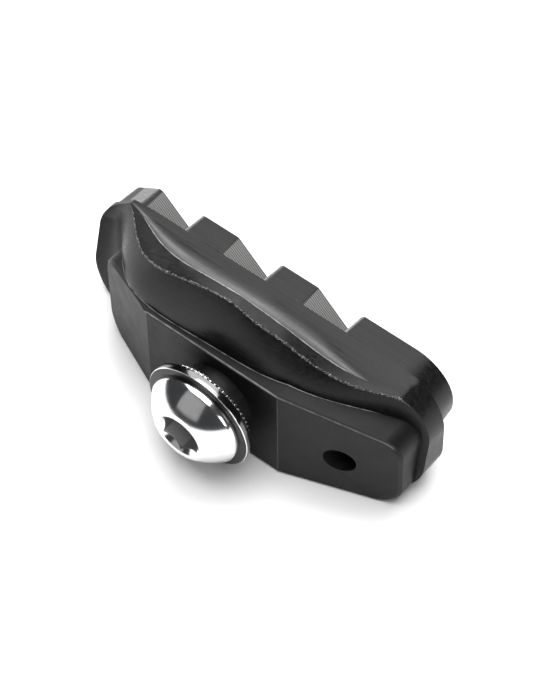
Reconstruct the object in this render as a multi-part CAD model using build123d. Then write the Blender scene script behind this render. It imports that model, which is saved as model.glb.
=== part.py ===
"""Bicycle rim brake pad: a moulded caliper shoe with a winged rubber pad and its fixing bolt.

X runs along the rim from the rounded tip to the tail, Y from the holder's back face towards the rim,
and Z from the straight side, which the shoe lies on, up to the wing. The origin is on the fixing
bolt's axis, in the plane of the holder's back face. All sizes are in millimetres.
"""
import math
import os

from build123d import *

# Rubber pad: plan and depth
BASE_DROP = 8.7            # bolt axis to the straight side
TIP_REACH = 27.2           # bolt axis to the rounded tip
TAIL_REACH = 23.9          # bolt axis to the tail end
FLOOR_Y = 11.9             # back face to the groove floors
TIP_CORNER_R = 5.0         # rubber's corner at the tip, straight side
TIP_SLANT_Z = 3.3          # height at which the tip's end starts to slant towards the wing
TIP_SLANT_DEG = 42.0       # slant of the tip's end from the long axis
TIP_SLANT_R = 4.5          # corner between the tip's end and the slant
TAIL_CORNER_R = 5.3        # rubber's corner at the tail, straight side
TAIL_WING_R = 7.5          # rubber's corner at the tail, wing side
TAIL_SHOULDER_Z = 6.0      # where the wing side meets the tail's end, before rounding

# Tread
TREAD_HEIGHT = 3.3         # groove floor to the braking face
TREAD_LOW_Z = -4.5         # braking face's edge towards the straight side
TREAD_WIDTH = 11.7
TREAD_APEX_Z = 1.7         # line of the Vs' points
TREAD_PITCH = 12.1
TREAD_GROOVES = 3
BLOCK_LENGTH = 7.0         # along X, on the tread's edges
CHEVRON_DEG = 45.0         # half angle of each V
TIP_BLOCK_MARGIN = 1.2     # rubber's tip to the first block
TIP_BLOCK_LENGTH = 10.1    # first block, from its end to the point of its V
TIP_BLOCK_LOW_Z = -3.5     # first block's edge towards the straight side
TIP_BLOCK_BEND_Z = 4.1     # where the first block's end turns towards the wing
TAIL_BLOCK_MARGIN = 1.2    # rubber's tail to the last block
BLOCK_CORNER_R = 0.8
NOTCH_R = 1.6
TIP_BLOCK_R = 2.6
TAIL_BLOCK_FLAT = 0.5      # straight part of the last block's end, between its corners
TREAD_DRAFT_DEG = 5.0

# Wing, from tip to tail: x, lip's height, depths of the lip's upper edge, lower edge and holder's edge
TRIM = 1.0                 # how far a shape runs past the face that trims it
PEAK_X = -3.5
TIP_RUN = PEAK_X + TIP_REACH + TRIM
TIP_SHOULDER_SHARE = 0.4   # of the way from the peak to the tip
TIP_ROOT_SHARE = 0.69      # the same, where the wing leaves the tip
WING_TIP_END = (-TIP_REACH - TRIM, 5.6, 11.0, 9.9, 9.0)
WING_TIP_ROOT = (PEAK_X - TIP_ROOT_SHARE * TIP_RUN, 7.9, 10.4, 9.2, 6.6)
WING_TIP_SHOULDER = (PEAK_X - TIP_SHOULDER_SHARE * TIP_RUN, 10.9, 6.5, 3.9, 1.2)
WING_PEAK = (PEAK_X, 14.2, 4.5, 3.1, 0.9)
WING_TAIL_SHOULDER = (5.9, 12.1, 5.4, 3.9, 1.5)
WING_TAIL_FALL = (13.6, 8.5, 7.0, 5.6, 4.2)
WING_TAIL_ROOT = (20.0, 7.3, 9.4, 8.5, 7.8)
WING_TAIL_END = (TAIL_REACH + TRIM, 4.4, 10.6, 9.7, 9.3)
WING_STATIONS = [WING_TIP_END, WING_TIP_ROOT, WING_TIP_SHOULDER, WING_PEAK,
                 WING_TAIL_SHOULDER, WING_TAIL_FALL, WING_TAIL_ROOT, WING_TAIL_END]
LIP_LEAST = 0.1            # lip's reach past the foot of the sweep where the wing runs out
SWEEP_DROP = 0.6           # how steeply the sweep leaves the tread, as a share of its depth
SWEEP_OUT = 0.05           # the same, as a share of its reach
SWEEP_RISE = 0.15          # how flat it runs out to the lip, as a share of its depth
SWEEP_RUN = 0.35           # the same, as a share of its reach

# Holder
BACK_TIP_X = -11.0         # back face's edge towards the tip
BACK_TAIL_X = 8.6          # crease where the tail starts to slope
HOLDER_TOP = 6.9           # bolt axis to the holder's wing side
HOLDER_TIP_X = -21.5
HOLDER_TAIL_X = 22.9
HOLDER_FRONT_Y = 9.4       # face that the rubber is moulded on
TAIL_SLOPE_DEG = 19.4
TIP_SLOPE_DEG = 24.0
TAIL_TOP_Z = 3.3           # wing side at the tail's end
TIP_TOP_Z = 5.0            # wing side at the tip's end
TIP_NARROW_X = -13.0       # where the wing side starts to narrow towards the tip
HOLDER_CORNER_R = 3.2
HOLDER_EDGE = 0.35         # broken edge round the back face and its slopes
LOOKS_BACK = -0.5          # faces whose normal's y is below this look away from the rim
STRAIGHT_LAP_Y = 7.2       # rubber's edge on the straight side
TAIL_HOLE_X = 15.8
TAIL_HOLE_Z = -2.4
TAIL_HOLE_R = 1.95
TAIL_HOLE_DEPTH = 4.5
COLLAR_R = 4.6
COLLAR_HEIGHT = 2.3

# Fixing bolt and washers
THREAD_R = 3.0
BOLT_LENGTH = 10.0         # under the head
BOLT_TIP_CHAMFER = 0.7
HEAD_R = 6.3
HEAD_RIM = 0.85
HEAD_HEIGHT = 3.5
HEAD_CROWN_R = 3.7         # flat ring round the socket
SOCKET_ACROSS_FLATS = 5.0
SOCKET_DEPTH = 2.7
SOCKET_CHAMFER = 0.55
PLAIN_WASHER_R = 7.4
PLAIN_WASHER_T = 1.0
PLAIN_WASHER_EDGE = 0.25
LOCK_WASHER_R = 6.6
LOCK_WASHER_T = 0.85
LOCK_ROOT_R = 6.0          # foot of the teeth
LOCK_TEETH = 60
LOCK_TOOTH_LEAN = 0.45     # from one face to the other, as a share of the tooth pitch
WASHER_PLAY = 0.2          # washers and holder round the thread
THREAD_PLAY = 0.05         # bolt in the insert nut
NUT_ACROSS_FLATS = 10.0
NUT_BACK_Y = 1.2
NUT_LENGTH = 6.2

TREAD_HIGH_Z = TREAD_LOW_Z + TREAD_WIDTH
TAIL_BLOCK_R = (TREAD_WIDTH - TAIL_BLOCK_FLAT) / 2
FACE_Y = FLOOR_Y + TREAD_HEIGHT
TREAD_FOOT = TREAD_HEIGHT * math.tan(math.radians(TREAD_DRAFT_DEG))
TIP_BLOCK_END_X = TIP_BLOCK_MARGIN - TIP_REACH
FIRST_APEX_X = TIP_BLOCK_END_X + TIP_BLOCK_LENGTH
LOCK_SEAT_Y = -COLLAR_HEIGHT
PLAIN_SEAT_Y = LOCK_SEAT_Y - LOCK_WASHER_T
HEAD_SEAT_Y = PLAIN_SEAT_Y - PLAIN_WASHER_T


def facing_rim(y):
    """Sketch plane at depth y: local x is the long axis, local y is up, extruding goes towards the rim."""
    return Plane(origin=(0, y, 0), x_dir=(-1, 0, 0), z_dir=(0, 1, 0))


def plan(points):
    """Closed outline in (x, z), drawn on a plane that faces the rim."""
    return make_face(Polyline(*[(-x, z) for x, z in points], close=True))


def round_corner(sketch, x, z, radius):
    """Round the corner of a plan outline that lies at (x, z)."""
    corner = sketch.vertices().sort_by_distance((-x, z, 0))[0]
    return fillet(corner, radius)


def raised(sketch, y, height, taper=0.0):
    """Extrude a plan outline from depth y towards the rim."""
    return extrude(facing_rim(y) * sketch, height, taper=taper)


def along_bolt(y, height, radius):
    """Round bar on the bolt's axis, from depth y towards the rim."""
    return raised(Circle(radius), y, height)


def back_depth(x):
    """Depth of the holder's back at x: flat round the bolt, sloping towards the rim at both ends."""
    to_tail = (x - BACK_TAIL_X) * math.tan(math.radians(TAIL_SLOPE_DEG))
    to_tip = (BACK_TIP_X - x) * math.tan(math.radians(TIP_SLOPE_DEG))
    return max(0.0, to_tail, to_tip)


def wing_side(x):
    """Height of the holder's wing side at x."""
    if x > BACK_TAIL_X:
        share = (x - BACK_TAIL_X) / (HOLDER_TAIL_X - BACK_TAIL_X)
        return HOLDER_TOP + share * (TAIL_TOP_Z - HOLDER_TOP)
    if x < TIP_NARROW_X:
        share = (TIP_NARROW_X - x) / (TIP_NARROW_X - HOLDER_TIP_X)
        return HOLDER_TOP + share * (TIP_TOP_Z - HOLDER_TOP)
    return HOLDER_TOP


def rubber_section(x, lip_z, lip_top, lip_low, lap_y):
    """Cross-section of the pad at x: base slab, hollow sweep, lip and hull-shaped underside."""
    foot_z = min(TREAD_HIGH_Z + TREAD_FOOT, lip_z - LIP_LEAST)
    fall = FLOOR_Y - lip_top
    reach = lip_z - foot_z
    inner_z = wing_side(x) - TRIM
    corner_low = (STRAIGHT_LAP_Y, -BASE_DROP - TRIM)
    corner_high = (FLOOR_Y + TRIM, -BASE_DROP - TRIM)
    crest = (FLOOR_Y + TRIM, foot_z)
    foot = (FLOOR_Y, foot_z)
    lip_upper = (lip_top, lip_z)
    lip_lower = (lip_low, lip_z)
    lap = (lap_y, inner_z)
    sweep = Bezier(
        foot,
        (FLOOR_Y - SWEEP_DROP * fall, foot_z + SWEEP_OUT * reach),
        (lip_top + SWEEP_RISE * fall, foot_z + SWEEP_RUN * reach),
        lip_upper,
    )
    hull = Bezier(lip_lower, (min(lip_low, lap_y), (lip_z + inner_z) / 2), lap)
    section = make_face([
        Line(corner_low, corner_high),
        Line(corner_high, crest),
        Line(crest, foot),
        sweep,
        Line(lip_upper, lip_lower),
        hull,
        Line(lap, corner_low),
    ])
    return Plane.YZ.offset(x) * section


def pad_outline():
    """Plan of the rubber: straight side, rounded tip with its slanted end, rounded tail."""
    peak_x, peak_z = WING_PEAK[:2]
    fall_x, fall_z = WING_TAIL_FALL[:2]
    above = peak_z + TRIM
    slant_run = (above - TIP_SLANT_Z) / math.tan(math.radians(TIP_SLANT_DEG))
    outline = plan([
        (-TIP_REACH, -BASE_DROP),
        (-TIP_REACH, TIP_SLANT_Z),
        (-TIP_REACH + slant_run, above),
        (peak_x, above),
        (fall_x, fall_z + TRIM),
        (TAIL_REACH, TAIL_SHOULDER_Z),
        (TAIL_REACH, -BASE_DROP),
    ])
    outline = round_corner(outline, -TIP_REACH, -BASE_DROP, TIP_CORNER_R)
    outline = round_corner(outline, -TIP_REACH, TIP_SLANT_Z, TIP_SLANT_R)
    outline = round_corner(outline, TAIL_REACH, TAIL_SHOULDER_Z, TAIL_WING_R)
    return round_corner(outline, TAIL_REACH, -BASE_DROP, TAIL_CORNER_R)


def arm_run(z):
    """How far a V's arm has run back towards the tip where it reaches height z."""
    return abs(z - TREAD_APEX_Z) / math.tan(math.radians(CHEVRON_DEG))


def chevron(apex, low_z):
    """Corners of a V that points to the tail at apex, from the straight side to the wing side."""
    low_tip = (apex - arm_run(low_z), low_z)
    high_tip = (apex - arm_run(TREAD_HIGH_Z), TREAD_HIGH_Z)
    return [low_tip, (apex, TREAD_APEX_Z), high_tip]


def tread_block(tip_apex, tail_apex):
    """One tread block between two V grooves; None stands for the rounded end of the tread."""
    if tip_apex is None:
        low_z = TIP_BLOCK_LOW_Z
        front = [(TIP_BLOCK_END_X, low_z), (TIP_BLOCK_END_X, TIP_BLOCK_BEND_Z)]
        front_rounds = [TIP_BLOCK_R, TIP_BLOCK_R]
    else:
        low_z = TREAD_LOW_Z
        front = chevron(tip_apex, low_z)
        front_rounds = [BLOCK_CORNER_R, NOTCH_R, BLOCK_CORNER_R]
    if tail_apex is None:
        tail_end = TAIL_REACH - TAIL_BLOCK_MARGIN
        back = [(tail_end, low_z), (tail_end, TREAD_HIGH_Z)]
        back_rounds = [TAIL_BLOCK_R, TAIL_BLOCK_R]
    else:
        back = chevron(tail_apex, low_z)
        back_rounds = [BLOCK_CORNER_R, BLOCK_CORNER_R, BLOCK_CORNER_R]
    corners = front + back[::-1]
    top = plan(corners)
    for (x, z), radius in zip(corners, front_rounds + back_rounds[::-1]):
        top = round_corner(top, x, z, radius)
    return raised(top, FACE_Y, -TREAD_HEIGHT, taper=-TREAD_DRAFT_DEG)


def tread():
    """All the tread blocks, from the pentagon at the tip to the long block at the tail."""
    groove = TREAD_PITCH - BLOCK_LENGTH
    apexes = [FIRST_APEX_X + n * TREAD_PITCH for n in range(TREAD_GROOVES)]
    tips = [None] + [apex + groove for apex in apexes]
    tails = apexes + [None]
    return [tread_block(tip, tail) for tip, tail in zip(tips, tails)]


def holder_blank():
    """Holder without its holes: a flat back that slopes away to both ends, narrowing at the wing side."""
    outline = plan([
        (HOLDER_TIP_X, -BASE_DROP),
        (HOLDER_TIP_X, TIP_TOP_Z),
        (TIP_NARROW_X, HOLDER_TOP),
        (BACK_TAIL_X, HOLDER_TOP),
        (HOLDER_TAIL_X, TAIL_TOP_Z),
        (HOLDER_TAIL_X, -BASE_DROP),
    ])
    for x, z in [(HOLDER_TAIL_X, TAIL_TOP_Z), (HOLDER_TAIL_X, -BASE_DROP),
                 (HOLDER_TIP_X, TIP_TOP_Z), (HOLDER_TIP_X, -BASE_DROP)]:
        outline = round_corner(outline, x, z, HOLDER_CORNER_R)
    side = make_face(Polyline(
        (BACK_TIP_X, 0),
        (BACK_TAIL_X, 0),
        (HOLDER_TAIL_X, back_depth(HOLDER_TAIL_X)),
        (HOLDER_TAIL_X, HOLDER_FRONT_Y),
        (HOLDER_TIP_X, HOLDER_FRONT_Y),
        (HOLDER_TIP_X, back_depth(HOLDER_TIP_X)),
        close=True,
    ))
    roof = extrude(Plane.XY.offset(-BASE_DROP) * side, BASE_DROP + HOLDER_TOP)
    return raised(outline, 0, HOLDER_FRONT_Y) & roof


def broken_edges(blank):
    """Break the sharp edges round the holder's back face and slopes, leaving the creases between them."""
    backs = [face for face in blank.faces() if face.normal_at().Y < LOOKS_BACK]
    edges = [edge for face in backs for edge in face.edges()]
    return chamfer([edge for edge in edges if edges.count(edge) == 1], HOLDER_EDGE)


def insert_nut():
    """Steel nut moulded into the holder."""
    body = raised(RegularPolygon(NUT_ACROSS_FLATS / 2, 6, major_radius=False), NUT_BACK_Y, NUT_LENGTH)
    return body - along_bolt(NUT_BACK_Y, NUT_LENGTH, THREAD_R + THREAD_PLAY)


def holder():
    """Holder with its collar, bolt hole, nut pocket and tail hole."""
    body = broken_edges(holder_blank()) + along_bolt(-COLLAR_HEIGHT, COLLAR_HEIGHT, COLLAR_R)
    body -= along_bolt(-COLLAR_HEIGHT, COLLAR_HEIGHT + NUT_BACK_Y, THREAD_R + WASHER_PLAY)
    body -= raised(RegularPolygon(NUT_ACROSS_FLATS / 2, 6, major_radius=False), NUT_BACK_Y, NUT_LENGTH)
    tilt = math.tan(math.radians(TAIL_SLOPE_DEG)) * TAIL_HOLE_R
    mouth = back_depth(TAIL_HOLE_X) - tilt
    hole = Pos(-TAIL_HOLE_X, TAIL_HOLE_Z) * Circle(TAIL_HOLE_R)
    return body - raised(hole, mouth, TAIL_HOLE_DEPTH + tilt)


def rubber_pad():
    """Rubber moulded on the holder: base slab with the wing, and the tread."""
    sections = [rubber_section(*station) for station in WING_STATIONS]
    body = loft(sections) & raised(pad_outline(), 0, FLOOR_Y)
    for block in tread():
        body += block
    return body - holder_blank()


def revolved(points):
    """Turned piece: (radius, distance from the head's seat towards the bolt's tip) about the bolt's axis."""
    profile = make_face(Polyline(*points, close=True))
    return revolve(profile, Axis.Y)


def fixing_bolt():
    """Bolt with a hexagon socket, its head a piece of a ball centred on the axis."""
    top = HEAD_SEAT_Y - HEAD_HEIGHT
    rim = HEAD_SEAT_Y - HEAD_RIM
    tip = HEAD_SEAT_Y + BOLT_LENGTH
    dome_y = (HEAD_R ** 2 - HEAD_CROWN_R ** 2 + rim ** 2 - top ** 2) / (2 * (rim - top))
    dome_r = math.hypot(HEAD_R, rim - dome_y)
    outline = [
        Line((0, top), (HEAD_CROWN_R, top)),
        RadiusArc((HEAD_CROWN_R, top), (HEAD_R, rim), -dome_r),
        Line((HEAD_R, rim), (HEAD_R, HEAD_SEAT_Y)),
        Line((HEAD_R, HEAD_SEAT_Y), (THREAD_R, HEAD_SEAT_Y)),
        Line((THREAD_R, HEAD_SEAT_Y), (THREAD_R, tip - BOLT_TIP_CHAMFER)),
        Line((THREAD_R, tip - BOLT_TIP_CHAMFER), (THREAD_R - BOLT_TIP_CHAMFER, tip)),
        Line((THREAD_R - BOLT_TIP_CHAMFER, tip), (0, tip)),
        Line((0, tip), (0, top)),
    ]
    bolt = revolve(make_face(outline), Axis.Y)
    socket = raised(RegularPolygon(SOCKET_ACROSS_FLATS / 2, 6, major_radius=False), top, SOCKET_DEPTH)
    flat_r = SOCKET_ACROSS_FLATS / 2
    flare_end = top + SOCKET_CHAMFER
    flare = revolved([(0, top), (flat_r + SOCKET_CHAMFER, top), (flat_r, flare_end), (0, flare_end)])
    return bolt - socket - flare


def plain_washer():
    """Flat washer under the bolt's head, with broken edges."""
    bore = THREAD_R + WASHER_PLAY
    back = PLAIN_SEAT_Y
    front = HEAD_SEAT_Y
    shoulder = PLAIN_WASHER_R - PLAIN_WASHER_EDGE
    return revolved([
        (bore, front),
        (shoulder, front),
        (PLAIN_WASHER_R, front + PLAIN_WASHER_EDGE),
        (PLAIN_WASHER_R, back),
        (bore, back),
    ])


def lock_washer():
    """Lock washer whose fine teeth lean round its edge like the lay of a rope."""
    pitch = 360 / LOCK_TEETH
    edge = []
    for n in range(LOCK_TEETH):
        edge.append(Vector(LOCK_WASHER_R, 0).rotate(Axis.Z, n * pitch))
        edge.append(Vector(LOCK_ROOT_R, 0).rotate(Axis.Z, (n + 0.5) * pitch))
    back = make_face(Polyline(*edge, close=True))
    front = back.rotate(Axis.Z, LOCK_TOOTH_LEAN * pitch)
    body = loft([facing_rim(PLAIN_SEAT_Y) * back, facing_rim(LOCK_SEAT_Y) * front], ruled=True)
    return body - along_bolt(PLAIN_SEAT_Y, LOCK_WASHER_T, THREAD_R + WASHER_PLAY)


def main():
    """Write one file for each piece."""
    os.makedirs("parts", exist_ok=True)
    pieces = {
        "rubber_pad": rubber_pad(),
        "holder": holder(),
        "insert_nut": insert_nut(),
        "fixing_bolt": fixing_bolt(),
        "plain_washer": plain_washer(),
        "lock_washer": lock_washer(),
    }
    for name, piece in pieces.items():
        export_step(piece, f"parts/{name}.step")


main()
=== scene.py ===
"""Caliper brake shoe: finishes, moulding marks, turned bolt and washers, and the studio they stand in.

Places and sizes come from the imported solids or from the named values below. X runs along the rim from tip to
tail, Y from the holder's back face towards the rim and Z from the straight side up to the wing. Lengths are
in metres, and a name that ends in _MM is in millimetres.
"""
import math

import bpy
import numpy as np
from mathutils import Matrix, Vector, noise


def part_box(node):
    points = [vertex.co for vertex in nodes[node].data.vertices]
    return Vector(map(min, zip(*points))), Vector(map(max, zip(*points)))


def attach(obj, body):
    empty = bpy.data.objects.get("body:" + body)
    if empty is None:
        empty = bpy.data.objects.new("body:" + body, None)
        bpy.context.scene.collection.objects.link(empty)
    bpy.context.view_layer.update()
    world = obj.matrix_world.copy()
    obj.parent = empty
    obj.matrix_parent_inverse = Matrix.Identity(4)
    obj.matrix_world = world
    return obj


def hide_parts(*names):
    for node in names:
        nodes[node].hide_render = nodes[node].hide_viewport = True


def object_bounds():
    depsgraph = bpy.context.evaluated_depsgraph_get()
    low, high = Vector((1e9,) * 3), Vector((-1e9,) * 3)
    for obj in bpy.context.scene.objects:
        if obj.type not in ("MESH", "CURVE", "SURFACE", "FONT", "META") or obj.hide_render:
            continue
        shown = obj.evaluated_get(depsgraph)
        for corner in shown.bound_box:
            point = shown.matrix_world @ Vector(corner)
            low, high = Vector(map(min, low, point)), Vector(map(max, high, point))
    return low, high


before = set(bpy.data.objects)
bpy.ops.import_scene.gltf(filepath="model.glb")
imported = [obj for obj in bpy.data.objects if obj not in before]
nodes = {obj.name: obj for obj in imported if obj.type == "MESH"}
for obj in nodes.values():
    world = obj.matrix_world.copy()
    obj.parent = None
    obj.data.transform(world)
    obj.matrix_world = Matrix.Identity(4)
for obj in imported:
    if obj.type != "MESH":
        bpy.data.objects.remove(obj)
cad_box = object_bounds()

MM = 0.001

# Edges of the moulded pieces
FACET_JOIN_MM = 0.001
RUBBER_EDGE_MM = 0.13
HOLDER_EDGE_MM = 0.09
EDGE_SEGMENTS = 3
RUBBER_EDGE_ANGLE_DEG = 30.0
HOLDER_EDGE_ANGLE_DEG = 18.0
FLAT_FACE_WEIGHT = 50
SMOOTH_ANGLE_DEG = 32.0

# Holder: the bend of its back where the tail begins to slope, and the slope's rise for each unit of length
TAIL_BEND_X_MM = 8.6
TAIL_SLOPE = 0.352

# Painted highlight lines on the holder, broken into patches: one along its chamfer, measured from the back
# and weaker on the tail, and one along the bend
CHAMFER_LINE_FROM_MM = 0.11
CHAMFER_LINE_TO_MM = 0.21
CHAMFER_LINE_FADE_MM = 0.04
TAIL_LINE_STRENGTH = 0.35
TAIL_LINE_FADE_MM = 2.0
BEND_LINE_HALF_MM = 0.05
BEND_LINE_FADE_MM = 0.03
BEND_LINE_STRENGTH = 0.3

# Grooves: their floors, measured from the back face, their walls, measured from the floors, and the stretch
# of the shoe that they take up
GROOVE_FLOOR_Y_MM = 11.9
GROOVE_FLOOR_HALF_MM = 0.02
GROOVE_FLOOR_FADE_MM = 0.03
GROOVE_WALL_FROM_MM = -0.1
GROOVE_WALL_FULL_MM = 0.2
GROOVES_FROM_X_MM = -24.0
GROOVES_TO_X_MM = 15.0
GROOVES_FADE_MM = 0.2
FLOOR_RINGS_CENTRE_MM = (-12.0, 0.0, 4.0)

# Bolt
BOLT_COLUMNS = 144
CROWN_R_MM = 3.7
CROWN_EDGE_MM = 0.12
DOME_STEPS = 26
HEAD_RIM_MM = 0.85
RIM_ROUND_MM = 0.16
ROUND_STEPS = 4
NECK_MM = 0.3
SOCKET_FLATS_MM = 5.0
SOCKET_DEPTH_MM = 2.7
SOCKET_CHAMFER_MM = 0.55
SOCKET_FLOOR_ROUND_MM = 0.05
SOCKET_FLOOR_SHARES = (0.5, 0.97)
TIP_CHAMFER_MM = 0.7
TIP_CAP_R_MM = 0.5

# Thread: its size, the steepness of its flanks, and the steps over which it runs out
THREAD_R_MM = 3.0
THREAD_PITCH_MM = 1.0
THREAD_DEPTH_MM = 0.54
THREAD_RELIEF_MM = 1.2
THREAD_STEPS_PER_TURN = 10
THREAD_STEEPNESS = 2.6
THREAD_CREST = 0.15
THREAD_RUN_OUT_STEPS = 6

# Painted shade in the socket, measured from the bolt's axis and from the top of its head
SOCKET_SHADE_R_MM = 2.98
SOCKET_SHADE_FROM_MM = 0.58
SOCKET_SHADE_TO_MM = 3.0
SOCKET_SHADE_FADE_MM = 0.05

# Washers
WASHER_BORE_MM = 3.2
WASHER_ROUND_MM = 0.12

# Lock washer: its teeth, the rows across a tooth from face to face, and the share of a tooth left in a notch
LOCK_TEETH = 60
LOCK_COLUMNS = 8 * LOCK_TEETH
LOCK_RING_MM = 0.62
LOCK_FLAT_MM = 0.25
LOCK_ROWS = (-1.0, -0.8, -0.45, 0.0, 0.45, 0.8, 1.0)
LOCK_TWIST = 0.6
LOCK_CROWN = 0.8
LOCK_FULLNESS = 0.7
NOTCH_HEIGHT = 0.25
NOTCH_THICKNESS = 0.82
NOTCH_DEPTH_MM = 0.45
TOOTH_TOP_MM = 0.08

# Beads of rubber: steps along them, sides round them, and the taper at their ends
BEAD_STEPS = 1200
BEAD_SIDES = 8
BEAD_TAPER_STEPS = 40
BEAD_END_SHARE = 0.05

# Lip: it lies above this height, and its edges lie furthest out in directions that lean by this much
LIP_LOWEST_Z_MM = 0.0
LIP_LEAN = 0.12

# Torn flash on the lip's lower edge: lumps with crumbs on them, and tears that differ from side to side
FLASH_FROM_TIP_MM = 4.5
FLASH_FROM_TAIL_MM = 2.5
FLASH_BACK_MM = 0.04
FLASH_SINK_MM = 0.09
FLASH_R_MM = 0.165
FLASH_USUAL = 0.75
FLASH_THINNEST = 0.15
LUMP_SIZE = 0.5
LUMPS_PER_MM = 1.9
CRUMB_SIZE = 0.35
CRUMBS_PER_LUMP = 3.7
TEAR_SIZE = 0.9
TEARS_PER_MM = 5.3
TEARS_PER_SIDE = 1.4
TEAR_LAYER = 7.0

# Sharp crease on the lip's upper edge
CREASE_HIGHEST_Y_MM = 11.5
CREASE_FROM_X_MM = -20.0
CREASE_TO_X_MM = 14.0
CREASE_R_MM = 0.075
CREASE_SINK_MM = 0.02

# Trimmed edge of the rubber's skirt on the holder
SKIRT_LOWEST_Z_MM = 3.0
SKIRT_FROM_X_MM = -20.0
SKIRT_TO_X_MM = 18.5
SKIRT_R_MM = 0.06

# Swelling of the crease and the skirt's edge
EVEN_USUAL = 0.85
EVEN_SWELL = 0.4
SWELLS_PER_MM = 0.8

# Camera: it stands where the photograph's camera stood, turned so that the shoe is in the middle
CAMERA_AZIMUTH_DEG = 39.41
CAMERA_ELEVATION_DEG = 54.13
CAMERA_ROLL_DEG = -0.90
CAMERA_DISTANCE = 0.3179
CAMERA_AIM_MM = (2.06, 7.79, 3.32)
PICTURE_WIDTH = 550
FOCAL_PIXELS = 2703
SENSOR_MM = 36.0

# Studio: floor, dim room, and soft lights that all look at the bolt
BOLT_PLACE = Vector((0.0, 0.0, 0.0))
STUDIO_FLOOR_SIZE = 3.0
PAPER_ROUGHNESS = 0.8
ROOM_COLOUR = (0.95, 0.97, 1.0)
ROOM_STRENGTH = 0.045
LIGHTS = {
    "soft_box": {"place": (-0.14, 0.30, 0.52), "size": (0.66, 0.50), "watts": 3.7},
    "back_strip": {"place": (-0.25, 0.54, 0.085), "size": (0.60, 0.15), "watts": 3.0},
    "ceiling": {"place": (0.0, 0.0, 0.90), "size": (0.80, 0.80), "watts": 10.0},
    "tail_fill": {"place": (0.55, -0.12, 0.22), "size": (0.30, 0.24), "watts": 0.8},
    "grey_card": {"place": (-0.075, -0.40, 0.275), "size": (0.41, 0.36), "watts": 0.14},
}

# Grain and streaks: the mottle's scale as a share of the grain's, and the streaks' scale along each axis
MOTTLE_SHARE = 0.06
STREAK_STRETCH = (0.035, 1.0, 1.0)

# Wiping marks: their shares in how dull the rubber, the bolt and the plain washer are
RUBBER_STREAK_SHARE = 0.55
RUBBER_SMEAR_SHARE = 0.45
BOLT_SMEAR_SHARE = 0.2
WASHER_SMEAR_SHARE = 0.3

# Colours of the rubber
RUBBER_BLACK = (0.004, 0.004, 0.0043)
RUBBER_WIPED = (0.0095, 0.0095, 0.01)
RUBBER_DUST = (0.12, 0.12, 0.12)
GROOVE_WALL_GREY = (0.075, 0.074, 0.072)
WALL_LINE_GREY = (0.3, 0.3, 0.296)
FLASH_BLACK = (0.008, 0.008, 0.008)
# Painted highlight on the flash's pale patches
FLASH_HIGHLIGHT = (0.3, 0.3, 0.3)
# Sharp edges of the rubber: dark between the patches of their painted highlight, and the painted highlight
EDGE_DARK = (0.05, 0.05, 0.05)
EDGE_HIGHLIGHT = (0.36, 0.36, 0.36)

# Colours of the holder
HOLDER_BLACK = (0.0052, 0.005, 0.0056)
HOLDER_MOTTLE = (0.0068, 0.0066, 0.0072)
HOLDER_DUST = (0.1, 0.1, 0.102)
# Painted highlights on the holder's chamfer and along its chamfer and bend
CHAMFER_HIGHLIGHT_GREY = (0.028, 0.028, 0.029)
HIGHLIGHT_LINE_GREY = (0.26, 0.26, 0.262)

# Colours of the metal pieces and the floor
CHROME = (0.90, 0.90, 0.91)
CHROME_WIPED = (0.78, 0.78, 0.79)
# Darker grey painted inside the socket as shade
CHROME_SOCKET_SHADE = (0.5, 0.5, 0.5)
WASHER_WALL = (0.16, 0.16, 0.16)
WASHER_WALL_WIPED = (0.09, 0.09, 0.09)
# Painted highlight on the plain washer's rim, and painted shade on its flats
WASHER_RIM_HIGHLIGHT = (0.84, 0.84, 0.85)
WASHER_FLAT_SHADE = (0.035, 0.035, 0.036)
# Painted shade in the lock washer's notches, and painted highlight on its teeth
NOTCH_SHADE_DARK = (0.03, 0.03, 0.03)
NOTCH_SHADE_GREY = (0.08, 0.08, 0.08)
TOOTH_HIGHLIGHT = (0.84, 0.84, 0.85)
NUT_GREY = (0.48, 0.48, 0.47)
NUT_PALE = (0.6, 0.6, 0.59)
PAPER_WHITE = (0.93, 0.93, 0.93)
PAPER_BRIGHT = (0.95, 0.95, 0.95)

# Colour sockets of a mix node
MIX_UNDER = 6
MIX_OVER = 7
MIX_RESULT = 2


def node_box_mm(name):
    """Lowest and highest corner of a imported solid, in millimetres."""
    low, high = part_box(name)
    return low / MM, high / MM


def feed(tree, socket, value):
    """Link an input to another node's output, or set it to a number, a vector or a colour."""
    if isinstance(value, bpy.types.NodeSocket):
        tree.links.new(value, socket)
    else:
        socket.default_value = value


def new_node(tree, kind, **values):
    """Add a node; inputs are fed by socket name, other names are the node's own settings."""
    made = tree.nodes.new(kind)
    for name, value in values.items():
        if name in made.inputs:
            feed(tree, made.inputs[name], value)
        else:
            setattr(made, name, value)
    return made


def group_tree(name, inputs, outputs):
    """Empty shader node group with a Vector input and named float inputs and outputs."""
    tree = bpy.data.node_groups.new(name, "ShaderNodeTree")
    tree.interface.new_socket(name="Vector", in_out="INPUT", socket_type="NodeSocketVector")
    for socket in inputs:
        tree.interface.new_socket(name=socket, in_out="INPUT", socket_type="NodeSocketFloat")
    for socket in outputs:
        tree.interface.new_socket(name=socket, in_out="OUTPUT", socket_type="NodeSocketFloat")
    entry = tree.nodes.new("NodeGroupInput")
    leave = tree.nodes.new("NodeGroupOutput")
    return tree, entry.outputs, leave.inputs


def math_node(tree, operation, first, second=None):
    """Math node whose operands are sockets or numbers; gives its output socket."""
    made = new_node(tree, "ShaderNodeMath", operation=operation)
    feed(tree, made.inputs[0], first)
    if second is not None:
        feed(tree, made.inputs[1], second)
    return made.outputs[0]


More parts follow.
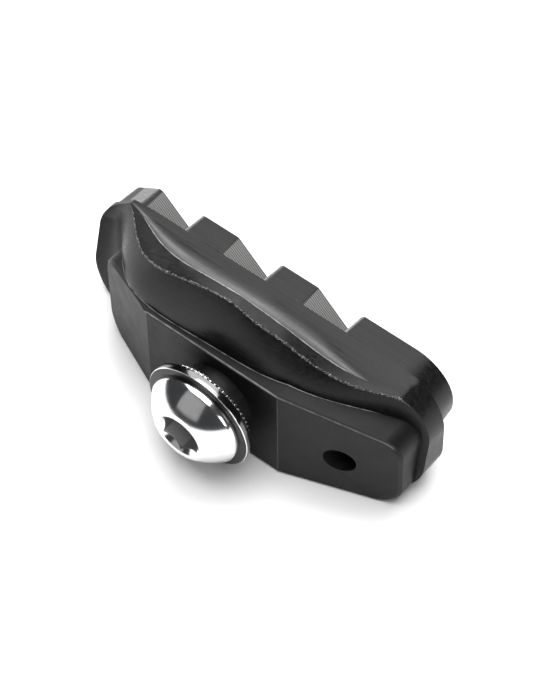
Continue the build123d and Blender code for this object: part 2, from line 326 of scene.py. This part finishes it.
def product(tree, first, *others):
    """Product of a mask and others, which may also be numbers."""
    for other in others:
        first = math_node(tree, "MULTIPLY", first, other)
    return first


def ramp(tree, source, low, high):
    """Value from 0 at low to 1 at high, held between them."""
    made = new_node(tree, "ShaderNodeMapRange", clamp=True, Value=source)
    feed(tree, made.inputs["From Min"], low)
    feed(tree, made.inputs["From Max"], high)
    return made.outputs["Result"]


def between(tree, source, low, high, fade):
    """Mask that is 1 from low to high and fades out beyond each."""
    rise = ramp(tree, source, low=low - fade, high=low)
    fall = ramp(tree, source, low=high + fade, high=high)
    return product(tree, rise, fall)


def blend(tree, mask, under, over, amount=1.0):
    """Colour over another, by up to amount where the mask is 1; each colour is a socket or a triple."""
    factor = mask if amount == 1.0 else product(tree, mask, amount)
    made = new_node(tree, "ShaderNodeMix", data_type="RGBA", Factor=factor)
    for index, colour in ((MIX_UNDER, under), (MIX_OVER, over)):
        feed(tree, made.inputs[index], (*colour, 1.0) if isinstance(colour, tuple) else colour)
    return made.outputs[MIX_RESULT]


def noise_node(tree, vector, scale, detail, roughness=0.5):
    """Noise between 0 and 1; its scale is in features per metre."""
    made = new_node(tree, "ShaderNodeTexNoise", Vector=vector, Scale=scale, Detail=detail,
                    Roughness=roughness)
    return made.outputs["Fac"]


def wave_node(tree, vector, **values):
    """Regular lines between 0 and 1."""
    return new_node(tree, "ShaderNodeTexWave", Vector=vector, **values).outputs["Fac"]


def moulded_grain_group():
    """Fine skin of a moulded surface: a height for bump and a slow mottle."""
    tree, given, result = group_tree("moulded_grain", ["Scale"], ["Height", "Mottle"])
    fine = noise_node(tree, given["Vector"], given["Scale"], detail=6.0, roughness=0.6)
    slow_scale = product(tree, given["Scale"], MOTTLE_SHARE)
    slow = noise_node(tree, given["Vector"], slow_scale, detail=4.0, roughness=0.55)
    feed(tree, result["Height"], fine)
    feed(tree, result["Mottle"], ramp(tree, slow, low=0.3, high=0.7))
    return tree


def streak_group():
    """Streaks drawn out along the shoe's length, as release agent and wiping leave them."""
    tree, given, result = group_tree("lengthwise_streaks", ["Scale"], ["Streak"])
    stretch = new_node(tree, "ShaderNodeMapping", Vector=given["Vector"], Scale=STREAK_STRETCH)
    lines = noise_node(tree, stretch.outputs["Vector"], given["Scale"], detail=4.0, roughness=0.65)
    feed(tree, result["Streak"], ramp(tree, lines, low=0.38, high=0.68))
    return tree


def speck_group():
    """Scattered pale specks of dust and mould residue."""
    tree, given, result = group_tree("dust_specks", ["Scale"], ["Speck"])
    cells = new_node(tree, "ShaderNodeTexVoronoi", Vector=given["Vector"], Scale=given["Scale"])
    dot = ramp(tree, cells.outputs["Distance"], low=0.16, high=0.06)
    rare = ramp(tree, noise_node(tree, given["Vector"], scale=700.0, detail=2.0), low=0.56, high=0.66)
    feed(tree, result["Speck"], product(tree, dot, rare))
    return tree


def patch_group():
    """Soft patches, for wiping marks and for breaking up painted highlights: 0 up to Low and 1 from High on.
    """
    inputs = ["Scale", "Detail", "Roughness", "Low", "High"]
    tree, given, result = group_tree("wiped_and_highlight_patches", inputs, ["Patch"])
    spots = noise_node(tree, given["Vector"], given["Scale"], given["Detail"], given["Roughness"])
    feed(tree, result["Patch"], ramp(tree, spots, given["Low"], given["High"]))
    return tree


GROUPS = {
    "grain": moulded_grain_group(),
    "streaks": streak_group(),
    "specks": speck_group(),
    "patches": patch_group(),
}


class Finish:
    """A material under construction: its tree, its shader and the place on the part."""

    def __init__(self, name, metallic=0.0, specular=0.5):
        self.material = bpy.data.materials.new(name)
        self.material.use_nodes = True
        self.tree = self.material.node_tree
        self.shader = self.tree.nodes["Principled BSDF"]
        self.shader.inputs["Metallic"].default_value = metallic
        self.shader.inputs["Specular IOR Level"].default_value = specular
        self.place = self.tree.nodes.new("ShaderNodeTexCoord").outputs["Object"]
        self.normal = None

    def effect(self, group, output, **values):
        """Place a shared effect with its own values."""
        made = self.tree.nodes.new("ShaderNodeGroup")
        made.node_tree = GROUPS[group]
        feed(self.tree, made.inputs["Vector"], self.place)
        for name, value in values.items():
            feed(self.tree, made.inputs[name], value)
        return made.outputs[output]

    def axis(self, name):
        """Place along one axis of the part, in metres."""
        return new_node(self.tree, "ShaderNodeSeparateXYZ", Vector=self.place).outputs[name]

    def from_bolt(self):
        """Distance from the bolt's axis, in metres."""
        along, up = self.axis("X"), self.axis("Z")
        squares = math_node(self.tree, "ADD", product(self.tree, along, along), product(self.tree, up, up))
        return math_node(self.tree, "SQRT", squares)

    def facing(self, name):
        """How far the true surface looks along one axis of the part, from -1 to 1."""
        outward = self.tree.nodes.new("ShaderNodeNewGeometry").outputs["True Normal"]
        return new_node(self.tree, "ShaderNodeSeparateXYZ", Vector=outward).outputs[name]

    def colour(self, socket):
        """Take the base colour from a socket."""
        feed(self.tree, self.shader.inputs["Base Color"], socket)

    def roughness(self, source, low, high):
        """Roughness between low, where the source is 0, and high, where it is 1."""
        made = new_node(self.tree, "ShaderNodeMapRange", clamp=True, Value=source)
        feed(self.tree, made.inputs["To Min"], low)
        feed(self.tree, made.inputs["To Max"], high)
        feed(self.tree, self.shader.inputs["Roughness"], made.outputs["Result"])

    def bump(self, height, depth_mm, strength):
        """Add a layer of bump over the layers before it."""
        depth = depth_mm * MM
        made = new_node(self.tree, "ShaderNodeBump", Height=height, Distance=depth, Strength=strength)
        if self.normal is not None:
            feed(self.tree, made.inputs["Normal"], self.normal)
        self.normal = made.outputs["Normal"]
        feed(self.tree, self.shader.inputs["Normal"], self.normal)


def groove_walls(finish):
    """Mask of the walls of the grooves between the tread's blocks."""
    tree = finish.tree
    bottom = (GROOVE_FLOOR_Y_MM + GROOVE_WALL_FROM_MM) * MM
    full = (GROOVE_FLOOR_Y_MM + GROOVE_WALL_FULL_MM) * MM
    in_groove = ramp(tree, finish.axis("Y"), low=bottom, high=full)
    sideways = ramp(tree, math_node(tree, "ABSOLUTE", finish.facing("X")), low=0.35, high=0.6)
    first, last = GROOVES_FROM_X_MM * MM, GROOVES_TO_X_MM * MM
    among_blocks = between(tree, finish.axis("X"), first, last, GROOVES_FADE_MM * MM)
    return product(tree, in_groove, sideways, among_blocks)


def groove_floor_rings(finish):
    """Rings that the mould's cutter left on the floors of the grooves."""
    tree = finish.tree
    from_centre = Vector(FLOOR_RINGS_CENTRE_MM) * -MM
    centred = new_node(tree, "ShaderNodeMapping", Vector=finish.place, Location=from_centre)
    rings = wave_node(tree, centred.outputs["Vector"], wave_type="RINGS", rings_direction="Y", Scale=700.0,
                      Distortion=0.6)
    low = (GROOVE_FLOOR_Y_MM - GROOVE_FLOOR_HALF_MM) * MM
    high = (GROOVE_FLOOR_Y_MM + GROOVE_FLOOR_HALF_MM) * MM
    on_floor = between(tree, finish.axis("Y"), low, high, GROOVE_FLOOR_FADE_MM * MM)
    return product(tree, rings, on_floor)


def pad_rubber():
    """Satin black rubber, greyer on the groove walls, with mould lines on walls and groove floors."""
    finish = Finish("pad_rubber", specular=0.22)
    tree = finish.tree
    grain = finish.effect("grain", "Height", Scale=9000.0)
    streak = finish.effect("streaks", "Streak", Scale=3200.0)
    smear = finish.effect("grain", "Mottle", Scale=2400.0)
    speck = finish.effect("specks", "Speck", Scale=2800.0)
    walls = groove_walls(finish)
    layers = wave_node(tree, finish.place, wave_type="BANDS", bands_direction="Y", Scale=1150.0,
                       Distortion=2.6, Detail=4.0)
    wall_lines = product(tree, layers, walls)
    body = blend(tree, streak, RUBBER_BLACK, RUBBER_WIPED)
    walled = blend(tree, walls, body, GROOVE_WALL_GREY, amount=0.9)
    lined = blend(tree, wall_lines, walled, WALL_LINE_GREY, amount=0.8)
    finish.colour(blend(tree, speck, lined, RUBBER_DUST, amount=0.4))
    streaked = product(tree, streak, RUBBER_STREAK_SHARE)
    smeared = product(tree, smear, RUBBER_SMEAR_SHARE)
    finish.roughness(math_node(tree, "ADD", streaked, smeared), low=0.25, high=0.5)
    finish.bump(grain, depth_mm=0.008, strength=0.35)
    finish.bump(streak, depth_mm=0.005, strength=0.35)
    finish.bump(wall_lines, depth_mm=0.03, strength=0.6)
    finish.bump(groove_floor_rings(finish), depth_mm=0.02, strength=0.5)
    return finish.material


def lip_flash_rubber():
    """Torn rubber along the parting line: rough, with pale painted highlights in patches."""
    finish = Finish("lip_flash_rubber")
    # Patches where the flash has a pale painted highlight
    flash_highlight = finish.effect("patches", "Patch", Scale=4200.0, Detail=6.0, Roughness=0.75, Low=0.5, High=0.64)
    finish.colour(blend(finish.tree, flash_highlight, FLASH_BLACK, FLASH_HIGHLIGHT))
    finish.roughness(flash_highlight, low=0.3, high=0.6)
    finish.bump(finish.effect("grain", "Height", Scale=6500.0), depth_mm=0.06, strength=0.8)
    return finish.material


def sharp_edge_rubber():
    """Painted highlight along a sharp moulded edge of the rubber, broken into patches."""
    finish = Finish("sharp_edge_rubber")
    # Patches of painted highlight along the edge
    highlight_patches = finish.effect("patches", "Patch", Scale=900.0, Detail=5.0, Roughness=0.65, Low=0.36, High=0.62)
    finish.colour(blend(finish.tree, highlight_patches, EDGE_DARK, EDGE_HIGHLIGHT))
    finish.roughness(highlight_patches, low=0.3, high=0.5)
    finish.bump(finish.effect("grain", "Height", Scale=6500.0), depth_mm=0.01, strength=0.4)
    return finish.material


def holder_chamfer(finish):
    """Mask of the chamfer along the upper edge of the holder's back."""
    leaning = between(finish.tree, finish.facing("Y"), low=-0.85, high=-0.5, fade=0.06)
    upward = ramp(finish.tree, finish.facing("Z"), low=0.4, high=0.5)
    return product(finish.tree, leaning, upward)


def holder_highlight_lines(finish, chamfer):
    """Mask of the broken painted highlight lines along the chamfer and the bend."""
    tree = finish.tree
    past_bend = math_node(tree, "SUBTRACT", finish.axis("X"), TAIL_BEND_X_MM * MM)
    slope_rise = product(tree, math_node(tree, "MAXIMUM", past_bend, 0.0), TAIL_SLOPE)
    from_back = math_node(tree, "SUBTRACT", finish.axis("Y"), slope_rise)
    first, last = CHAMFER_LINE_FROM_MM * MM, CHAMFER_LINE_TO_MM * MM
    middle = between(tree, from_back, first, last, CHAMFER_LINE_FADE_MM * MM)
    before_tail = ramp(tree, past_bend, low=TAIL_LINE_FADE_MM * MM, high=-TAIL_LINE_FADE_MM * MM)
    strength = math_node(tree, "ADD", product(tree, before_tail, 1 - TAIL_LINE_STRENGTH), TAIL_LINE_STRENGTH)
    chamfer_line = product(tree, chamfer, middle, strength)
    half = BEND_LINE_HALF_MM * MM
    at_bend = between(tree, past_bend, -half, half, BEND_LINE_FADE_MM * MM)
    backward = ramp(tree, finish.facing("Y"), low=-0.85, high=-0.92)
    bend_line = product(tree, at_bend, backward, BEND_LINE_STRENGTH)
    # Patches that break the painted highlight lines
    highlight_patches = finish.effect("patches", "Patch", Scale=800.0, Detail=4.0, Roughness=0.6, Low=0.2, High=0.6)
    return product(tree, math_node(tree, "MAXIMUM", chamfer_line, bend_line), highlight_patches)


def holder_plastic():
    """Matte black plastic with a fine moulded grain, and painted highlights on its chamfer and along its bend.
    """
    finish = Finish("holder_plastic", specular=0.2)
    tree = finish.tree
    mottle = finish.effect("grain", "Mottle", Scale=9000.0)
    speck = finish.effect("specks", "Speck", Scale=2800.0)
    chamfer = holder_chamfer(finish)
    body = blend(tree, mottle, HOLDER_BLACK, HOLDER_MOTTLE)
    # Painted highlights: lighter grey on the chamfer, and broken lighter lines along the chamfer and the bend
    chamfer_highlighted = blend(tree, chamfer, body, CHAMFER_HIGHLIGHT_GREY)
    lined = blend(tree, holder_highlight_lines(finish, chamfer), chamfer_highlighted, HIGHLIGHT_LINE_GREY, amount=0.85)
    finish.colour(blend(tree, speck, lined, HOLDER_DUST, amount=0.25))
    finish.roughness(mottle, low=0.44, high=0.52)
    finish.bump(finish.effect("grain", "Height", Scale=11000.0), depth_mm=0.006, strength=0.4)
    return finish.material


def socket_shade_mask(finish):
    """Mask of the inside of the bolt's socket."""
    tree = finish.tree
    head_top = node_box_mm("fixing_bolt")[0].y
    fade = SOCKET_SHADE_FADE_MM * MM
    near_axis = ramp(tree, finish.from_bolt(), low=SOCKET_SHADE_R_MM * MM, high=SOCKET_SHADE_R_MM * MM - fade)
    first, last = (head_top + SOCKET_SHADE_FROM_MM) * MM, (head_top + SOCKET_SHADE_TO_MM) * MM
    return product(tree, near_axis, between(tree, finish.axis("Y"), first, last, fade))


def bright_chrome():
    """Bright plate with faint wiping marks, rougher inside the socket, where a darker grey is painted as
    shade.
    """
    finish = Finish("bolt_chrome", metallic=1.0)
    tree = finish.tree
    smear = finish.effect("patches", "Patch", Scale=420.0, Detail=5.0, Roughness=0.6, Low=0.35, High=0.75)
    in_socket = socket_shade_mask(finish)
    plate = blend(tree, smear, CHROME, CHROME_WIPED)
    # Painted shade: darker grey inside the socket
    finish.colour(blend(tree, in_socket, plate, CHROME_SOCKET_SHADE))
    dull = math_node(tree, "MAXIMUM", product(tree, smear, BOLT_SMEAR_SHARE), in_socket)
    finish.roughness(dull, low=0.12, high=0.42)
    finish.bump(finish.effect("grain", "Height", Scale=2400.0), depth_mm=0.012, strength=0.35)
    return finish.material


def turned_plate():
    """Plate over fine turning lines round the bolt's axis, with painted shade on the flats and a painted
    highlight on the rim.
    """
    finish = Finish("washer_chrome", metallic=1.0)
    tree = finish.tree
    smear = finish.effect("patches", "Patch", Scale=520.0, Detail=4.0, Roughness=0.5, Low=0.3, High=0.7)
    turned_to_axis = math_node(tree, "ABSOLUTE", finish.facing("Y"))
    flat = ramp(tree, turned_to_axis, low=0.9, high=0.98)
    corner = ramp(tree, turned_to_axis, low=0.1, high=0.25)
    wall = blend(tree, smear, WASHER_WALL, WASHER_WALL_WIPED)
    # Painted highlight on the rounded corners and painted shade on the flats
    rim = blend(tree, corner, wall, WASHER_RIM_HIGHLIGHT)
    finish.colour(blend(tree, flat, rim, WASHER_FLAT_SHADE))
    dull = math_node(tree, "MAXIMUM", product(tree, smear, WASHER_SMEAR_SHARE), flat)
    finish.roughness(dull, low=0.1, high=0.36)
    lines = wave_node(tree, finish.place, wave_type="RINGS", rings_direction="Y", Scale=2600.0,
                      Distortion=0.8)
    finish.bump(lines, depth_mm=0.004, strength=0.4)
    return finish.material


def spring_steel():
    """Zinc-plated spring steel, with a painted highlight on the teeth and painted shade in the notches."""
    finish = Finish("lock_washer_steel", metallic=1.0)
    tree = finish.tree
    outer = node_box_mm("lock_washer")[1].z
    mottle = finish.effect("grain", "Mottle", Scale=3600.0)
    notch_r, tooth_r = (outer - NOTCH_DEPTH_MM) * MM, (outer - TOOTH_TOP_MM) * MM
    tooth = ramp(tree, finish.from_bolt(), low=notch_r, high=tooth_r)
    # Painted shade in the notches and painted highlight on the teeth
    notch = blend(tree, mottle, NOTCH_SHADE_DARK, NOTCH_SHADE_GREY)
    finish.colour(blend(tree, tooth, notch, TOOTH_HIGHLIGHT))
    finish.roughness(mottle, low=0.18, high=0.36)
    finish.bump(finish.effect("grain", "Height", Scale=4200.0), depth_mm=0.012, strength=0.4)
    return finish.material


def nut_steel():
    """Plain plated steel of the moulded-in nut."""
    finish = Finish("nut_steel", metallic=1.0)
    mottle = finish.effect("grain", "Mottle", Scale=3000.0)
    finish.colour(blend(finish.tree, mottle, NUT_GREY, NUT_PALE))
    finish.roughness(mottle, low=0.24, high=0.4)
    finish.bump(finish.effect("grain", "Height", Scale=3800.0), depth_mm=0.01, strength=0.4)
    return finish.material


def floor_paper():
    """White paper with a slight tint in it."""
    finish = Finish("floor_paper", specular=0.2)
    finish.shader.inputs["Roughness"].default_value = PAPER_ROUGHNESS
    tint = noise_node(finish.tree, finish.place, scale=40.0, detail=4.0)
    finish.colour(blend(finish.tree, tint, PAPER_WHITE, PAPER_BRIGHT))
    return finish.material


def soften_edges(node, width_mm, angle_deg):
    """Give a moulded solid the small radius that its edges have, and keep its flat faces evenly lit."""
    weld = node.modifiers.new("join_facets", "WELD")
    weld.merge_threshold = FACET_JOIN_MM * MM
    bevel = node.modifiers.new("moulded_edge", "BEVEL")
    bevel.width = width_mm * MM
    bevel.segments = EDGE_SEGMENTS
    bevel.limit_method = "ANGLE"
    bevel.angle_limit = math.radians(angle_deg)
    even = node.modifiers.new("flat_faces", "WEIGHTED_NORMAL")
    even.mode = "FACE_AREA"
    even.weight = FLAT_FACE_WEIGHT


def dress(node, material):
    """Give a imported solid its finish."""
    node.data.materials.clear()
    node.data.materials.append(material)


def new_piece(name, points, faces, material):
    """Mesh piece from points in metres, riding on the part."""
    mesh = bpy.data.meshes.new(name)
    mesh.from_pydata([tuple(point) for point in points], [], faces)
    mesh.validate()
    mesh.polygons.foreach_set("use_smooth", [True] * len(mesh.polygons))
    mesh.set_sharp_from_angle(angle=math.radians(SMOOTH_ANGLE_DEG))
    mesh.materials.append(material)
    piece = bpy.data.objects.new(name, mesh)
    bpy.context.scene.collection.objects.link(piece)
    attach(piece, "root")
    return piece


def turned_piece(name, rows, columns, material, closed):
    """Piece turned about the bolt's axis from rows of (radius, y), each a number or a value for each column.

    A closed outline joins its last row to its first; an open one is capped at both ends.
    """
    angles = np.arange(columns) * 2 * math.pi / columns
    points = []
    for radius, y in rows:
        ring = np.broadcast_to(radius, columns)
        depth = np.broadcast_to(y, columns)
        points.append(np.stack([ring * np.cos(angles), depth, ring * np.sin(angles)], axis=1))
    count = len(rows)
    faces = []
    for row in range(count if closed else count - 1):
        start, end = row * columns, (row + 1) % count * columns
        for column in range(columns):
            after = (column + 1) % columns
            faces.append((start + column, start + after, end + after, end + column))
    if not closed:
        faces.append(tuple(reversed(range(columns))))
        faces.append(tuple((count - 1) * columns + column for column in range(columns)))
    return new_piece(name, np.concatenate(points) * MM, faces, material)


def ball_arc(start, end, steps):
    """Points from start to end, each (radius, y), on a ball centred on the bolt's axis."""
    (start_r, start_y), (end_r, end_y) = start, end
    centre = (end_r ** 2 - start_r ** 2 + end_y ** 2 - start_y ** 2) / (2 * (end_y - start_y))
    ball_r = math.hypot(end_r, end_y - centre)
    first = math.asin(start_r / ball_r)
    last = math.asin(end_r / ball_r)
    angles = [first + (last - first) * step / steps for step in range(steps + 1)]
    return [(ball_r * math.sin(a), centre - ball_r * math.cos(a)) for a in angles]


def quarter_round(centre, radius, first_deg):
    """Quarter circle of (radius, y) points about its centre, from first_deg on."""
    angles = [math.radians(first_deg + 90 * step / ROUND_STEPS) for step in range(ROUND_STEPS + 1)]
    return [(centre[0] + radius * math.cos(a), centre[1] + radius * math.sin(a)) for a in angles]


def socket_rows(top):
    """Socket from the middle of its floor out to its chamfered mouth."""
    side = np.arange(BOLT_COLUMNS) * 2 * math.pi / BOLT_COLUMNS
    sector = math.pi / 3
    wall = SOCKET_FLATS_MM / 2 / np.cos((side + sector / 2) % sector - sector / 2)
    mouth = SOCKET_FLATS_MM / 2 + SOCKET_CHAMFER_MM
    bottom = top + SOCKET_DEPTH_MM
    rows = [(wall * share, bottom) for share in SOCKET_FLOOR_SHARES]
    rows += [(wall, bottom - SOCKET_FLOOR_ROUND_MM), (wall, top + mouth - wall)]
    rows += [(mouth, top)]
    return rows


def thread_rows(first_y, last_y):
    """Threaded length of the shank, from first_y to last_y, as radii that follow the helix."""
    turn = np.arange(BOLT_COLUMNS) / BOLT_COLUMNS
    steps = int((last_y - first_y) / THREAD_PITCH_MM * THREAD_STEPS_PER_TURN)
    rows = []
    for step in range(steps + 1):
        y = first_y + (last_y - first_y) * step / steps
        phase = (y / THREAD_PITCH_MM - turn) % 1.0
        flank = np.clip(np.abs(phase - 0.5) * THREAD_STEEPNESS - THREAD_CREST, 0.0, 1.0)
        run_out = min(1.0, step / THREAD_RUN_OUT_STEPS, (steps - step) / THREAD_RUN_OUT_STEPS)
        rows.append((THREAD_R_MM - THREAD_DEPTH_MM * flank * run_out, y))
    return rows


def fixing_bolt(material):
    """Domed bolt with its hexagon socket and thread."""
    low, high = node_box_mm("fixing_bolt")
    seat = node_box_mm("plain_washer")[0].y
    top, tip, head_r = low.y, high.y, high.x
    rows = socket_rows(top)
    rows += [(CROWN_R_MM - CROWN_EDGE_MM, top)]
    rows += ball_arc((CROWN_R_MM, top), (head_r, seat - HEAD_RIM_MM), DOME_STEPS)
    rows += quarter_round((head_r - RIM_ROUND_MM, seat - RIM_ROUND_MM), RIM_ROUND_MM, 0)
    rows += [(THREAD_R_MM + NECK_MM, seat), (THREAD_R_MM, seat + NECK_MM)]
    rows += thread_rows(seat + THREAD_RELIEF_MM, tip - TIP_CHAMFER_MM)
    rows += [(THREAD_R_MM - TIP_CHAMFER_MM, tip), (TIP_CAP_R_MM, tip)]
    piece = turned_piece("bolt", rows, BOLT_COLUMNS, material, closed=False)
    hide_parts("fixing_bolt")


def plain_washer(material):
    """Flat washer with rounded edges."""
    low, high = node_box_mm("plain_washer")
    edge = high.x - WASHER_ROUND_MM
    rows = [(WASHER_BORE_MM, high.y), (WASHER_BORE_MM, low.y)]
    rows += quarter_round((edge, low.y + WASHER_ROUND_MM), WASHER_ROUND_MM, -90)
    rows += quarter_round((edge, high.y - WASHER_ROUND_MM), WASHER_ROUND_MM, 0)
    piece = turned_piece("flat_washer", rows, BOLT_COLUMNS, material, closed=True)
    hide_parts("plain_washer")


def lock_washer(material):
    """Lock washer whose teeth lean round its edge like the lay of a rope."""
    low, high = node_box_mm("lock_washer")
    turn = np.arange(LOCK_COLUMNS) / LOCK_COLUMNS * LOCK_TEETH
    outer = high.z
    ring = outer - LOCK_RING_MM
    middle = (low.y + high.y) / 2
    half = (high.y - low.y) / 2
    rows = [(WASHER_BORE_MM, high.y), (WASHER_BORE_MM, low.y), (ring - LOCK_FLAT_MM, low.y)]
    for share in LOCK_ROWS:
        lay = 0.5 + 0.5 * np.cos(2 * math.pi * (turn + LOCK_TWIST * share))
        crown = math.sqrt(1 - (LOCK_CROWN * share) ** 2)
        height = (NOTCH_HEIGHT + (1 - NOTCH_HEIGHT) * lay ** LOCK_FULLNESS) * crown
        thickness = NOTCH_THICKNESS + (1 - NOTCH_THICKNESS) * lay
        rows.append((ring + (outer - ring) * height, middle + half * share * thickness))
    rows.append((ring - LOCK_FLAT_MM, high.y))
    piece = turned_piece("toothed_washer", rows, LOCK_COLUMNS, material, closed=True)
    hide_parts("lock_washer")


def edge_ends(mesh):
    """Both ends of each of a mesh's edges, as two arrays of points in millimetres."""
    points = np.empty(len(mesh.vertices) * 3)
    mesh.vertices.foreach_get("co", points)
    ends = np.empty(len(mesh.edges) * 2, dtype=int)
    mesh.edges.foreach_get("vertices", ends)
    points = points.reshape(-1, 3) / MM
    ends = ends.reshape(-1, 2)
    return points[ends[:, 0]], points[ends[:, 1]]


def section_line(node, xs, outward, lowest_z, highest_y):
    """Furthest outward point of a solid's cross-section at each x, above lowest_z and behind highest_y."""
    start, end = edge_ends(node.data)
    line = []
    for x in xs:
        crossing = (start[:, 0] - x) * (end[:, 0] - x) < 0
        first, last = start[crossing], end[crossing]
        share = (x - first[:, 0]) / (last[:, 0] - first[:, 0])
        cut = first + (last - first) * share[:, None]
        cut = cut[(cut[:, 2] > lowest_z) & (cut[:, 1] < highest_y)]
        line.append(cut[np.argmax(cut @ np.array(outward))])
    return np.array(line)


def bead(name, line, radii, material):
    """Thin bead along a line of points, no higher than the rubber.

    The radii have a row for each point and a column for each side.
    """
    top = node_box_mm("rubber_pad")[1].z
    steps, sides = radii.shape
    from_end = np.minimum(np.arange(steps), np.arange(steps)[::-1])
    taper = np.clip(from_end / BEAD_TAPER_STEPS, BEAD_END_SHARE, 1.0)
    radii = radii * taper[:, None]
    angles = np.arange(sides) * 2 * math.pi / sides
    x = np.broadcast_to(line[:, :1], radii.shape)
    y = line[:, 1:2] + radii * np.cos(angles)
    z = np.minimum(top, line[:, 2:] + radii * np.sin(angles))
    faces = []
    for step in range(steps - 1):
        here, there = step * sides, (step + 1) * sides
        for side in range(sides):
            after = (side + 1) % sides
            faces.append((here + side, there + side, there + after, here + after))
    faces.append(tuple(range(sides)))
    faces.append(tuple(reversed(range((steps - 1) * sides, steps * sides))))
    points = np.stack([x, y, z], axis=2).reshape(-1, 3)
    new_piece(name, points * MM, faces, material)


def torn_radii(line):
    """Radii of a ragged bead: lumps and crumbs along it, and each side ragged by itself."""
    radii = np.empty((BEAD_STEPS, BEAD_SIDES))
    for index, centre in enumerate(line):
        spot = Vector(centre) * LUMPS_PER_MM
        lump = LUMP_SIZE * noise.noise(spot)
        crumb = CRUMB_SIZE * noise.noise(spot * CRUMBS_PER_LUMP)
        swell = max(FLASH_THINNEST, FLASH_USUAL + lump + crumb)
        for side in range(BEAD_SIDES):
            tear = noise.noise(Vector((centre[0] * TEARS_PER_MM, side * TEARS_PER_SIDE, TEAR_LAYER)))
            radii[index, side] = FLASH_R_MM * swell * (1 + TEAR_SIZE * tear)
    return radii


def even_radii(line, radius):
    """Radii of a nearly even bead, swelling a little along its length."""
    swell = [EVEN_USUAL + EVEN_SWELL * noise.noise(Vector(centre) * SWELLS_PER_MM) for centre in line]
    return np.repeat(np.array(swell)[:, None] * radius, BEAD_SIDES, axis=1)


def lip_flash(rubber, material):
    """Torn seam of rubber along the lip's lower edge, where the mould's halves meet."""
    low, high = node_box_mm("rubber_pad")
    xs = np.linspace(low.x + FLASH_FROM_TIP_MM, high.x - FLASH_FROM_TAIL_MM, BEAD_STEPS)
    line = section_line(rubber, xs, (0.0, -LIP_LEAN, 1.0), LIP_LOWEST_Z_MM, GROOVE_FLOOR_Y_MM)
    sunk = line - np.array([0.0, FLASH_BACK_MM, FLASH_SINK_MM])
    bead("lip_flash", sunk, torn_radii(line), material)


def lip_crease(rubber, material):
    """Sharp upper edge of the lip, where the hollow of the wing begins."""
    xs = np.linspace(CREASE_FROM_X_MM, CREASE_TO_X_MM, BEAD_STEPS)
    line = section_line(rubber, xs, (0.0, LIP_LEAN, 1.0), LIP_LOWEST_Z_MM, CREASE_HIGHEST_Y_MM)
    line = line - np.array([0.0, 0.0, CREASE_SINK_MM])
    bead("lip_crease", line, even_radii(line, CREASE_R_MM), material)


def skirt_edge(rubber, material):
    """Trimmed edge of the rubber where it ends on the holder."""
    xs = np.linspace(SKIRT_FROM_X_MM, SKIRT_TO_X_MM, BEAD_STEPS)
    line = section_line(rubber, xs, (0.0, -1.0, 0.0), SKIRT_LOWEST_Z_MM, GROOVE_FLOOR_Y_MM)
    bead("skirt_edge", line, even_radii(line, SKIRT_R_MM), material)


def studio_floor():
    """Pale floor under the shoe."""
    bpy.ops.mesh.primitive_grid_add(x_subdivisions=2, y_subdivisions=2, size=STUDIO_FLOOR_SIZE,
                                    location=(0, 0, cad_box[0].z))
    floor = bpy.context.object
    floor.name = "studio_floor"
    floor.data.materials.append(floor_paper())


def soft_light(name, place, size, watts):
    """Rectangular soft light at a place, turned to the bolt."""
    lamp = bpy.data.lights.new(name, "AREA")
    lamp.shape = "RECTANGLE"
    lamp.size, lamp.size_y = size
    lamp.energy = watts
    light = bpy.data.objects.new(name, lamp)
    bpy.context.scene.collection.objects.link(light)
    light.location = place
    light.rotation_euler = (BOLT_PLACE - light.location).to_track_quat("-Z", "Y").to_euler()


def studio_light():
    """Soft box above and behind, low strip behind, ceiling, weak fill at the tail, grey card, dim room."""
    world = bpy.data.worlds.new("studio_room")
    bpy.context.scene.world = world
    world.use_nodes = True
    room = world.node_tree.nodes["Background"]
    room.inputs["Color"].default_value = (*ROOM_COLOUR, 1.0)
    room.inputs["Strength"].default_value = ROOM_STRENGTH
    for name, light in LIGHTS.items():
        soft_light(name, **light)
    bpy.context.scene.view_settings.view_transform = "Standard"


def photograph_camera():
    """Camera that sees the shoe from where the photograph does."""
    azimuth, elevation = math.radians(CAMERA_AZIMUTH_DEG), math.radians(CAMERA_ELEVATION_DEG)
    back = Vector((
        math.sin(azimuth) * math.cos(elevation),
        -math.cos(azimuth) * math.cos(elevation),
        math.sin(elevation),
    ))
    data = bpy.data.cameras.new("photograph_camera")
    data.sensor_fit = "HORIZONTAL"
    data.sensor_width = SENSOR_MM
    data.lens = SENSOR_MM * FOCAL_PIXELS / PICTURE_WIDTH
    camera = bpy.data.objects.new("photograph_camera", data)
    bpy.context.scene.collection.objects.link(camera)
    turn = (-back).to_track_quat("-Z", "Y").to_matrix()
    turn = turn @ Matrix.Rotation(math.radians(CAMERA_ROLL_DEG), 3, "Z")
    place = Vector(CAMERA_AIM_MM) * MM + back * CAMERA_DISTANCE
    camera.matrix_world = Matrix.Translation(place) @ turn.to_4x4()
    bpy.context.scene.camera = camera


dress(nodes["rubber_pad"], pad_rubber())
soften_edges(nodes["rubber_pad"], RUBBER_EDGE_MM, RUBBER_EDGE_ANGLE_DEG)
dress(nodes["holder"], holder_plastic())
soften_edges(nodes["holder"], HOLDER_EDGE_MM, HOLDER_EDGE_ANGLE_DEG)
dress(nodes["insert_nut"], nut_steel())
fixing_bolt(bright_chrome())
plain_washer(turned_plate())
lock_washer(spring_steel())
sharp_edge = sharp_edge_rubber()
lip_flash(nodes["rubber_pad"], lip_flash_rubber())
# The crease and the skirt's edge carry the painted highlight of the sharp edge's finish
lip_crease(nodes["rubber_pad"], sharp_edge)
skirt_edge(nodes["rubber_pad"], sharp_edge)
studio_floor()
studio_light()
photograph_camera()
